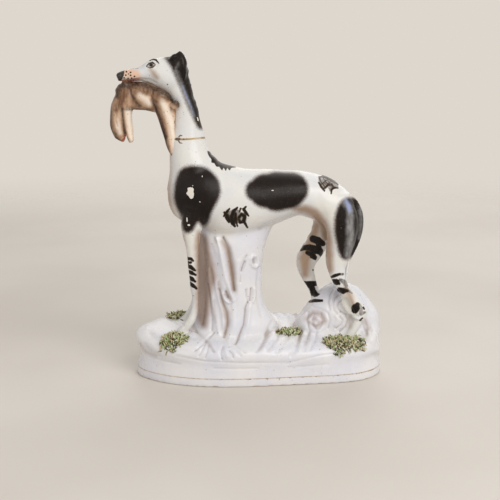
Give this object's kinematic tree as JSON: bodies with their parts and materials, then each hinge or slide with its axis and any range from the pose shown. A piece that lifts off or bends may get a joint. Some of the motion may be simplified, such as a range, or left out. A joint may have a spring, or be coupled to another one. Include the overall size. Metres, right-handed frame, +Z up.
{
  "type": "pottery dog figure",
  "caption": "Standing earthenware greyhound carrying a hare, on a hollow base with a tree trunk, rocks and grass tufts; an ornament.",
  "frame": {"origin": "centre of the base's underside", "axes": "+Z up, +X from the dog's head to its rump, +Y to the far side, away from the side with the decoration in the picture"},
  "size_m": [0.2381, 0.0972, 0.2803],
  "materials": {
    "white_glaze": "gloss",
    "hare_glaze": "gloss",
    "black_enamel": "gloss",
    "grass_clay": "gloss",
    "bare_clay": "matt"
  },
  "bodies": {
    "root": {"base_plate": "bare_clay", "mound_front": "white_glaze", "mound_back": "white_glaze", "trunk_front": "white_glaze", "trunk_back": "white_glaze", "torso_near": "white_glaze", "torso_far": "white_glaze", "head_near": "white_glaze", "head_far": "white_glaze", "ear_near": "black_enamel", "ear_far": "black_enamel", "fore_leg_near": "white_glaze", "fore_leg_far": "white_glaze", "hind_leg_near": "white_glaze", "hind_leg_far": "white_glaze", "tail": "white_glaze", "hare_body": "hare_glaze", "hare_head": "hare_glaze", "hare_ear_near": "hare_glaze", "hare_ear_far": "hare_glaze", "hare_fore_leg_near": "hare_glaze", "hare_fore_leg_far": "hare_glaze", "hare_hind_leg_near": "hare_glaze", "hare_hind_leg_far": "hare_glaze", "hare_tail": "hare_glaze", "tuft_fore_front": "grass_clay", "tuft_fore_back": "grass_clay", "tuft_middle": "grass_clay", "tuft_hind_front": "grass_clay", "tuft_hind_end": "grass_clay"}
  },
  "joints": []
}
